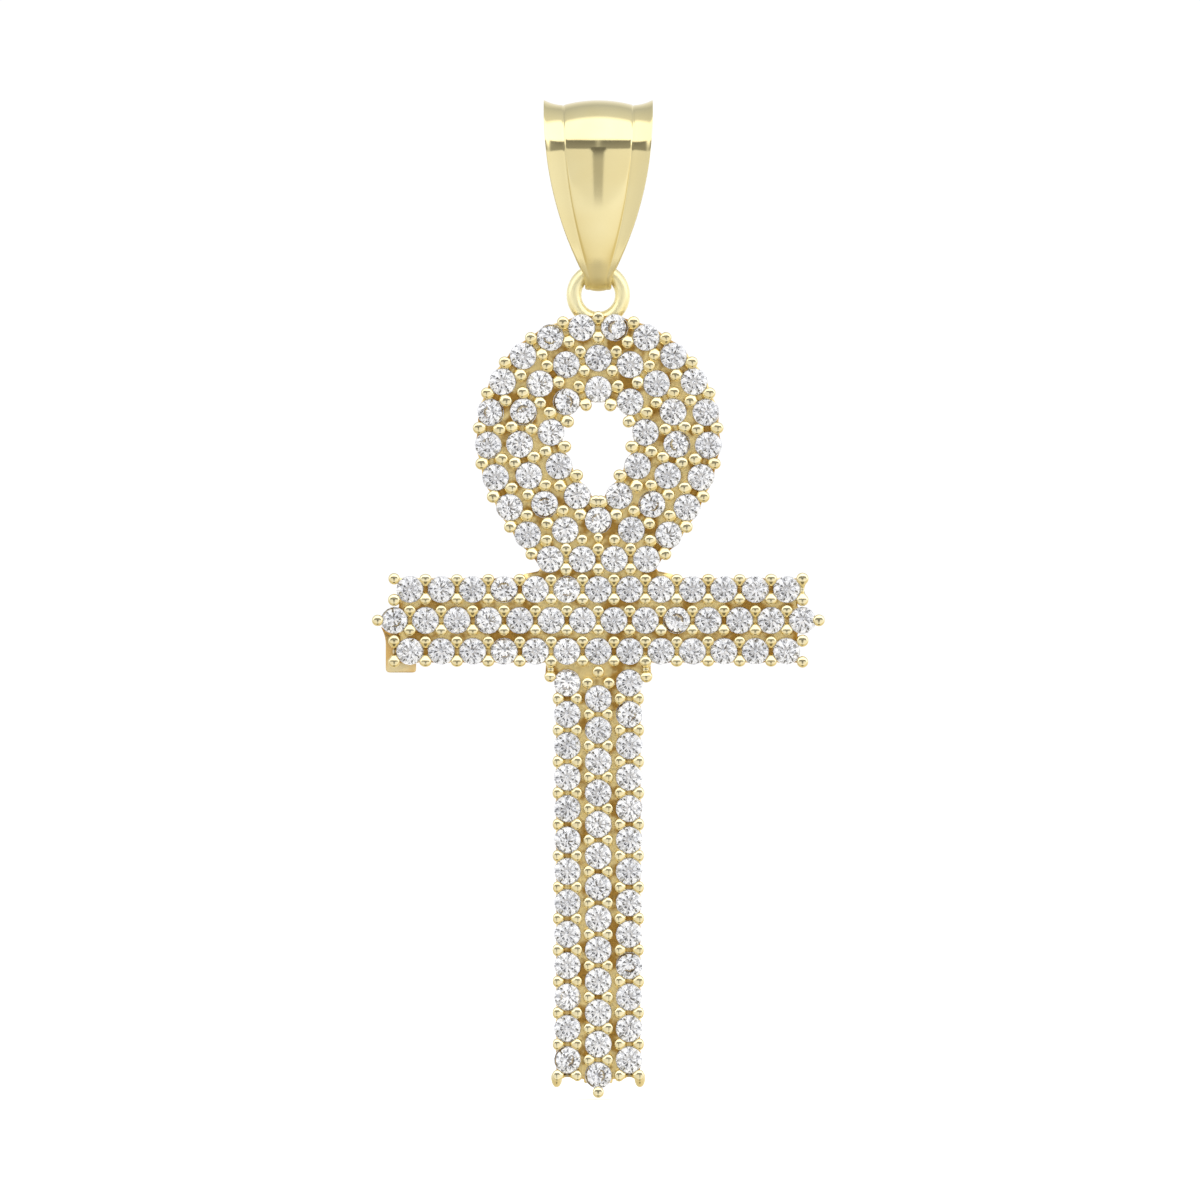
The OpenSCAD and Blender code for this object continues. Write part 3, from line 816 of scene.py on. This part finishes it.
def floor_plate():
    """The plate: a flat front and back with rounded edges, and a light hole behind each stone."""
    xs = np.arange(-bar_mid_half - GRID_MARGIN, bar_mid_half + GRID_MARGIN, CELL)
    zs = np.arange(STEM_FOOT_Z - GRID_MARGIN, HEAD_Z + HEAD_R + GRID_MARGIN, CELL)
    field = plate_field(*np.meshgrid(xs, zs, indexing="ij"))
    edge, inner = ([thinned(loop) for loop in marched(field, xs, zs, level)] for level in (0, -EDGE_ROUND))
    turn = circle(HOLE_SIDES)
    holes = [np.stack([p[0] + SEAT_R * np.cos(turn), p[1] + SEAT_R * np.sin(turn)], 1) for p in all_points]
    flat, edges, owner = [], [], []
    for kind, loops in ((EDGE, edge), (INNER, inner), (HOLE, holes)):
        for loop in loops:
            start = len(flat)
            flat += [tuple(p) for p in loop]
            owner += [kind] * len(loop)
            edges += [(start + i, start + (i + 1) % len(loop)) for i in range(len(loop))]
    verts, _, faces, sources, _, _ = delaunay_2d_cdt([Vector(p) for p in flat], edges, [], 0, 1e-6)
    spots = np.array([tuple(v) for v in verts])
    kinds = np.array([min((owner[s] for s in source), default=INNER) for source in sources])
    tris = np.array([face[:] for face in faces])
    middle = spots[tris].mean(1)
    away = np.hypot(middle[:, None, 0] - all_points[None, :, 0], middle[:, None, 1] - all_points[None, :, 1])
    kept = tris[(sampled(field, xs, zs, middle) < 0.0) & (np.min(away, 1) > SEAT_R * HOLE_TEST)]

    front = np.where(kinds == EDGE, PLATE_FRONT + EDGE_ROUND, PLATE_FRONT)
    back = np.where(kinds == EDGE, PLATE_BACK - EDGE_ROUND, PLATE_BACK)
    count = len(spots)
    out = [tuple(t) for t in kept] + [tuple(int(v) + count for v in t[::-1]) for t in kept]
    # Walls along every border of the kept floor: straight at the outlines, and narrower in the light holes
    sides = dict.fromkeys(
        (int(a), int(b)) for t in kept for a, b in ((t[0], t[1]), (t[1], t[2]), (t[2], t[0])))
    chains, wall_points = {}, []
    for a, b in sides:
        if (b, a) in sides:
            continue
        if kinds[a] == HOLE and kinds[b] == HOLE:
            for v in (a, b):
                if v not in chains:
                    centre = all_points[np.argmin(np.hypot(*(all_points - spots[v]).T))]
                    first = 2 * count + len(wall_points)
                    chains[v] = [v, *range(first, first + len(SEAT_ROWS)), v + count]
                    for depth, share in SEAT_ROWS:
                        p = centre + (spots[v] - centre) * share
                        wall_points.append((p[0], PLATE_FRONT + depth, p[1]))
            for k in range(len(SEAT_ROWS) + 1):
                out.append((chains[a][k], chains[a][k + 1], chains[b][k + 1], chains[b][k]))
        else:
            out.append((a, a + count, b + count, b))
    points = np.concatenate(
        [np.stack([spots[:, 0], y, spots[:, 1]], 1) for y in (front, back)] + [wall_points])
    used = sorted({v for face in out for v in face})
    renumber = {v: k for k, v in enumerate(used)}
    shape = Shape()
    shape.add(points[used], [tuple(renumber[v] for v in face) for face in out])
    return shape


plate = floor_plate().piece("floor_plate", "drop", "gold", cast_gold, sharp=40)
plate.data.materials.append(satin_gold)
floor_y = (PLATE_FRONT + EDGE_ROUND) * MM
for face in plate.data.polygons:
    face.material_index = 1 if face.center.y > floor_y else 0
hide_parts("setting")


# Feet, tab and eye ring

FOOT_BACK = 0.03
FOOT_SIDES = 28
# Shares of the foot's radius and of its length
FOOT_PROFILE = ((0.9, -0.22), (1.12, 0), (1.14, 0.25), (1.08, 0.45), (0.97, 0.62), (0.82, 0.77), (0.64, 0.89),
                (0.44, 0.97), (0.24, 1))


def add_foot(shape, side):
    """A turned foot at one corner of the stem's end, which leans back as it goes down."""
    turn, rows = circle(FOOT_SIDES), []
    for r_share, len_share in FOOT_PROFILE:
        q, h = FOOT_R * r_share, FOOT_LEN * len_share
        y = GIRDLE_Y + FOOT_BACK + q * np.sin(turn) + h * math.sin(FOOT_LEAN)
        z = np.full(FOOT_SIDES, STEM_FOOT_Z - h * math.cos(FOOT_LEAN))
        rows.append(np.stack([side * stem_side_x + q * np.cos(turn), y, z], 1))
    shape.add_capped(rows)


feet = Shape()
for side in (-1, 1):
    add_foot(feet, side)
feet.piece("feet", "drop", "gold", bead_gold, sharp=40)

TAB_CLEAR = 0.04
TAB_HEEL = 0.28
TAB_BEVEL = 0.06
TAB_ROUNDS = (0.05, 0.3, 0.2, 0.16, 0.08, 0.05, 0.08, 0.05)


def softened(corners, radii, steps=5):
    """An outline with its corners rounded."""
    out = []
    for k, p in enumerate(corners):
        p, a, b = (np.array(c, float) for c in (p, corners[k - 1], corners[(k + 1) % len(corners)]))
        a, b = p + (a - p) / np.linalg.norm(a - p) * radii[k], p + (b - p) / np.linalg.norm(b - p) * radii[k]
        for t in np.linspace(0, 1, steps):
            out.append((1 - t) ** 2 * a + 2 * t * (1 - t) * p + t ** 2 * b)
    return np.array(out)


# The tab's inner edges run past the light holes behind the end stones
tab_low = BAR_BOTTOM_Z - BEAD_OFFSET - BEAD_R - TAB_BELOW
tab_left = -bar_half - STONE_R - TAB_OUT
tab_right = tab_left + TAB_W
tab_under = BAR_BOTTOM_Z - LIGHT_HOLE_R - TAB_CLEAR
tab_inner = -bar_half - LIGHT_HOLE_R - TAB_CLEAR
tab_over = BAR_Z - LIGHT_HOLE_R - TAB_CLEAR
tab_shape = softened([
    (-bar_mid_half - STONE_R, BAR_Z - TAB_HEEL), (tab_left, BAR_BOTTOM_Z + STONE_R), (tab_left, tab_low),
    (tab_right, tab_low), (tab_right, tab_under), (tab_inner, tab_under), (tab_inner, tab_over),
    (-bar_mid_half - LIGHT_HOLE_R, tab_over),
], TAB_ROUNDS)
bevel = [(TAB_BEVEL * inset, TAB_BEVEL * depth) for inset, depth in ((1, 0), (0.3, 0.3), (0, 1))]
away = tab_shape.mean(0) - tab_shape
away /= np.linalg.norm(away, axis=1)[:, None]
tab_rows = []
for inset, depth in bevel + [(inset, TAB_T - depth) for inset, depth in bevel[::-1]]:
    u, v = (tab_shape + away * inset).T
    tab_rows.append(np.stack([u, np.full(len(u), PLATE_BACK - TAB_INSET - TAB_T + depth), v], 1))
tab = Shape()
tab.add_capped(tab_rows)
tab.piece("blank_tab", "drop", "gold", tab_gold, sharp=40)

RING_STEPS = 96
WIRE_STEPS = 36
eye_ring = Shape()
wire = circle(WIRE_STEPS)
reach = EYE_R + EYE_WIRE_R * np.cos(wire)
eye_ring.add_loop([
    np.stack([reach * math.cos(a), EYE_WIRE_R * np.sin(wire), EYE_Z + reach * math.sin(a)], 1)
    for a in circle(RING_STEPS)])
eye_ring.piece("eye_ring", "drop", "gold", ring_gold)


# Bail: a strap bent into a loop, with a crowned panel between two creases and rims that turn out

RIM_ROUND = 0.05
CREASE_W = 0.045
CREASE_H = 0.035
GROOVE_SOFT = 0.04
BAIL_LEG_R = 44.0
TIP_W = BAIL_TIP_W + 0.18
TIP_ROUND = 0.1
TIP_FADE = 0.3
CORNER_DROP = 0.6
INSIDE_ROUND = 0.04
# Points of a section on the panel, across the crease and where the rim starts, as shares of the half width
PANEL_SPOTS = np.linspace(0, PANEL_SHARE - 0.03, 16)
CREASE_SPOTS = PANEL_SHARE + np.linspace(-0.02, 0.02, 5)
RIM_START = PANEL_SHARE + 0.04
RIM_SPOTS = 9


def bail_half_w(z):
    """Half the strap's width at a height z."""
    height = BAIL_DROP + BAIL_TIP_R + BAIL_WALL
    return max(TIP_W, BAIL_W * (1 - BAIL_TAPER * (max(-z, 0) / height) ** BAIL_TAPER_POWER)) / 2


def relief(u, rim):
    """Height of the bail's outside over its grooves, at a share u of the half width."""
    panel = PANEL_CROWN * (1 - (u / PANEL_SHARE) ** 2)
    edge = rim * (max(abs(u) - PANEL_SHARE, 0) / (1 - PANEL_SHARE)) ** 2
    return -blend(-panel, -edge, GROOVE_SOFT)


def bail_path():
    """Points and outward directions in the YZ plane, once round the bail's inside."""
    top, tip, leg = (0, -BAIL_TOP_R, BAIL_TOP_R), (0, -BAIL_DROP, BAIL_TIP_R), BAIL_LEG_R
    # The legs are wide arcs that touch the top and the tip, round centres behind and in front of the bail
    a, b = leg - top[2], leg - tip[2]
    leg_z = (b * b - a * a + top[1] ** 2 - tip[1] ** 2) / (2 * (top[1] - tip[1]))
    leg_y = math.sqrt(a * a - (leg_z - top[1]) ** 2)
    lean_top, lean_tip = math.asin((leg_z - top[1]) / a), math.asin((leg_z - tip[1]) / b)
    path = []
    for (y, z, r), first, last, steps in (
        (top, -lean_top, math.pi + lean_top, 80),
        ((leg_y, leg_z, leg), math.pi + lean_top, math.pi + lean_tip, 32),
        (tip, math.pi + lean_tip, math.tau - lean_tip, 36),
        ((-leg_y, leg_z, leg), math.tau - lean_tip, math.tau - lean_top, 32),
    ):
        for k in np.linspace(first, last, steps)[:-1]:
            n = np.array([math.cos(k), math.sin(k)])
            path.append((np.array([y, z]) + n * r, n))
    return path


def bail_section(p, n):
    """Points once round the strap's section, where its inside passes p and its outside faces n."""
    w = bail_half_w(p[1] + n[1] * BAIL_WALL)
    share = w * 2 / BAIL_W
    rim_up = RIM_RISE * smoothstep((w - TIP_W / 2) / TIP_W)
    corner = RIM_ROUND + TIP_ROUND * (1 - smoothstep((w - TIP_W / 2) / TIP_FADE))
    outside = []
    for u in np.concatenate([PANEL_SPOTS, CREASE_SPOTS, np.linspace(RIM_START, 1 - corner / w, RIM_SPOTS)]):
        groove = CREASE_H * math.exp(-((u - PANEL_SHARE) * w / CREASE_W) ** 2)
        outside.append((u * w, BAIL_WALL + (relief(u, rim_up) - groove) * share))
    flank, rim = outside[-1][1], BAIL_WALL + rim_up * share
    for k in np.radians([30, 60, 90]):
        outside.append((w - corner * (1 - math.sin(k)),
                        flank + (rim - flank) * math.sin(k) - corner * CORNER_DROP * (1 - math.cos(k))))
    side = w - INSIDE_BEVEL
    outside += [(w - 0.4 * INSIDE_BEVEL, BAIL_WALL * 0.62), (side, INSIDE_ROUND), (side - INSIDE_ROUND, 0.0),
                (side * 0.5, 0.0)]
    line = outside + [(0.0, 0.0)] + [(-x, h) for x, h in outside[:0:-1]]
    return [(x, p[0] + n[0] * h, p[1] + n[1] * h) for x, h in line]


bail = Shape()
bail.add_loop([bail_section(p, n) for p, n in bail_path()])
strap = bail.piece("bail_strap", "bail", "gold", polished_gold, sharp=60)
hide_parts("bail")


# Studio: a pale floor just under the tip, a soft bright surround and the camera straight in front

# Where the surround holds a dark bar and a dark stem under it, which the bail mirrors: the lowest and the
# highest angle and the softness, in degrees up from level and round from straight ahead
BAR_RISE = (4.0, 24.0, 2.0)
BAR_SWEEP = (-1.0, 46.0, 6.0)
STEM_SWEEP = (-90.0, 0.0, 1.2)
STEM_UNIT = 20.0
SIDE_TILT = 0.12

world = bpy.data.worlds.new("studio")
bpy.context.scene.world = world
world.use_nodes = True
tree = world.node_tree
tree.nodes.clear()


def math_node(operation, a, b=None):
    return combined(tree, operation, a, b)


def between(value, low, high, soft):
    """1 where the value lies between low and high, with soft edges."""
    return math_node("MULTIPLY", *(
        mapped(tree, value, start, end, interpolation="SMOOTHSTEP")
        for start, end in ((low - soft, low + soft), (high + soft, high - soft))))


way = tree.nodes.new("ShaderNodeTexCoord")
split = tree.nodes.new("ShaderNodeSeparateXYZ")
tree.links.new(way.outputs["Generated"], split.inputs[0])
x, y, z = (split.outputs[k] for k in range(3))
forward = math_node("MULTIPLY", y, -1.0)
to_degrees = 180 / math.pi
rise = math_node("MULTIPLY", math_node("ARCSINE", z), to_degrees)
sweep = math_node("ABSOLUTE", math_node("MULTIPLY", math_node("ARCTAN2", x, forward), to_degrees))
over = math_node("MULTIPLY", math_node("ARCTAN2", z, forward), to_degrees)
share = math_node("ADD", math_node("MULTIPLY", over, 1 / 360), 0.5)
round_light = ramp(tree, share, [
    (0.0, (0.95, 0.95, 0.95)),
    (0.25, (0.78, 0.69, 0.47)),
    (0.386, (0.78, 0.69, 0.47)),
    (0.4, (0.98, 0.94, 0.84)),
    (0.42, (1.05, 1.04, 1.03)),
    (0.427, (1.05, 1.05, 1.05)),
    (0.429, (0.94, 0.93, 0.91)),
    (0.54, (0.95, 0.95, 0.95)),
    (0.585, (1.75, 1.75, 1.75)),
    (0.71, (1.7, 1.7, 1.7)),
    (0.74, (0.8, 0.81, 0.82)),
    (0.85, (0.58, 0.6, 0.64)),
    (0.93, (0.95, 0.95, 0.95)),
    (1.0, (0.95, 0.95, 0.95)),
], "LINEAR")
bar_mask = math_node("MULTIPLY", between(rise, *BAR_RISE), between(sweep, *BAR_SWEEP))


def along_rise(stops):
    """A value that follows the height of a direction, from pairs of degrees and value."""
    where = math_node("ADD", math_node("MULTIPLY", rise, 1 / 180), 0.5)
    return ramp(tree, where, [(at / 180 + 0.5, (v, v, v)) for at, v in stops], "LINEAR")


stem_width = math_node(
    "MULTIPLY", along_rise([(-46, 1.1), (-40, 0.7), (-34, 0.28), (-4, 0.28), (4, 0.4)]), STEM_UNIT)
stem_dark = along_rise([(-72, 0), (-66, 0.72), (-40, 0.72), (-36, 0), (-25.4, 0), (-24.6, 0.36), (-20, 0.42),
                        (-10, 0.55), (2, 0.8), (8, 0.8), (9, 0)])
stem_mask = between(math_node("SUBTRACT", sweep, stem_width), *STEM_SWEEP)
bar_dark = along_rise([(0, 0.62), (12, 0.66), (23, 0.86)])
dark = math_node(
    "MAXIMUM", math_node("MULTIPLY", bar_mask, bar_dark), math_node("MULTIPLY", stem_mask, stem_dark))
tilt = math_node("ADD", math_node("MULTIPLY", x, SIDE_TILT), 1.0)
kept_light = math_node("MULTIPLY", math_node("SUBTRACT", 1.0, dark), tilt)
surround = tree.nodes.new("ShaderNodeBackground")
tree.links.new(round_light, surround.inputs["Color"])
tree.links.new(kept_light, surround.inputs["Strength"])
# What the stones gather: bright panels with dark gaps between them
panels = tree.nodes.new("ShaderNodeTexNoise")
panels.inputs["Scale"].default_value = 2.4
panels.inputs["Detail"].default_value = 1.0
tree.links.new(way.outputs["Generated"], panels.inputs["Vector"])
gaps = ramp(tree, panels.outputs["Fac"], [
    (0.37, (0.12, 0.12, 0.13)),
    (0.43, (0.6, 0.61, 0.64)),
    (0.47, (1.02, 1.02, 1.04)),
    (0.55, (1.25, 1.25, 1.26)),
], "LINEAR")
gathered = tree.nodes.new("ShaderNodeBackground")
tree.links.new(gaps, gathered.inputs["Color"])
backdrop = tree.nodes.new("ShaderNodeBackground")
backdrop.inputs["Color"].default_value = (1, 1, 1, 1)
backdrop.inputs["Strength"].default_value = 1.05
seen = tree.nodes.new("ShaderNodeLightPath")
choose = tree.nodes.new("ShaderNodeMixShader")
through = tree.nodes.new("ShaderNodeMixShader")
tree.links.new(seen.outputs["Is Transmission Ray"], through.inputs[0])
tree.links.new(surround.outputs[0], through.inputs[1])
tree.links.new(gathered.outputs[0], through.inputs[2])
tree.links.new(seen.outputs["Is Camera Ray"], choose.inputs[0])
tree.links.new(through.outputs[0], choose.inputs[1])
tree.links.new(backdrop.outputs[0], choose.inputs[2])
world_out = tree.nodes.new("ShaderNodeOutputWorld")
tree.links.new(choose.outputs[0], world_out.inputs["Surface"])

FLOOR_GAP = 0.1
FLOOR_Z = STEM_FOOT_Z - single_reach - BEAD_R - FLOOR_GAP
FLOOR_R = 420.0
FLOOR_SIDES = 64
floor_material, _, floor_shader = new_material("pale_floor")
floor_shader.inputs["Base Color"].default_value = (0.96, 0.96, 0.96, 1)
floor_shader.inputs["Roughness"].default_value = 0.6
floor_shader.inputs["Specular IOR Level"].default_value = 0.0
floor_shader.inputs["Emission Color"].default_value = (1, 1, 1, 1)
floor_shader.inputs["Emission Strength"].default_value = 0.45
floor_mesh = bpy.data.meshes.new("floor")
floor_mesh.from_pydata(
    [(FLOOR_R * MM * math.cos(a), FLOOR_R * MM * math.sin(a), FLOOR_Z * MM) for a in circle(FLOOR_SIDES)],
    [], [tuple(range(FLOOR_SIDES))])
floor = bpy.data.objects.new("floor", floor_mesh)
floor_mesh.materials.append(floor_material)
bpy.context.scene.collection.objects.link(floor)
floor.visible_glossy = False
floor.visible_transmission = False

FRAME_W = 55.4
VIEW_X, VIEW_Z = 0.08, -22.6
CAMERA_Y = -500.0
SENSOR_W = 36.0
camera_data = bpy.data.cameras.new("camera")
camera_data.sensor_width = SENSOR_W
camera_data.lens = SENSOR_W * (-CAMERA_Y + GIRDLE_Y) / FRAME_W
camera_data.clip_start = 0.01
camera_data.clip_end = 10.0
camera = bpy.data.objects.new("camera", camera_data)
camera.location = (VIEW_X * MM, CAMERA_Y * MM, VIEW_Z * MM)
camera.rotation_euler = (math.pi / 2, 0, 0)
bpy.context.scene.collection.objects.link(camera)
bpy.context.scene.camera = camera
bpy.context.scene.view_settings.view_transform = "Standard"
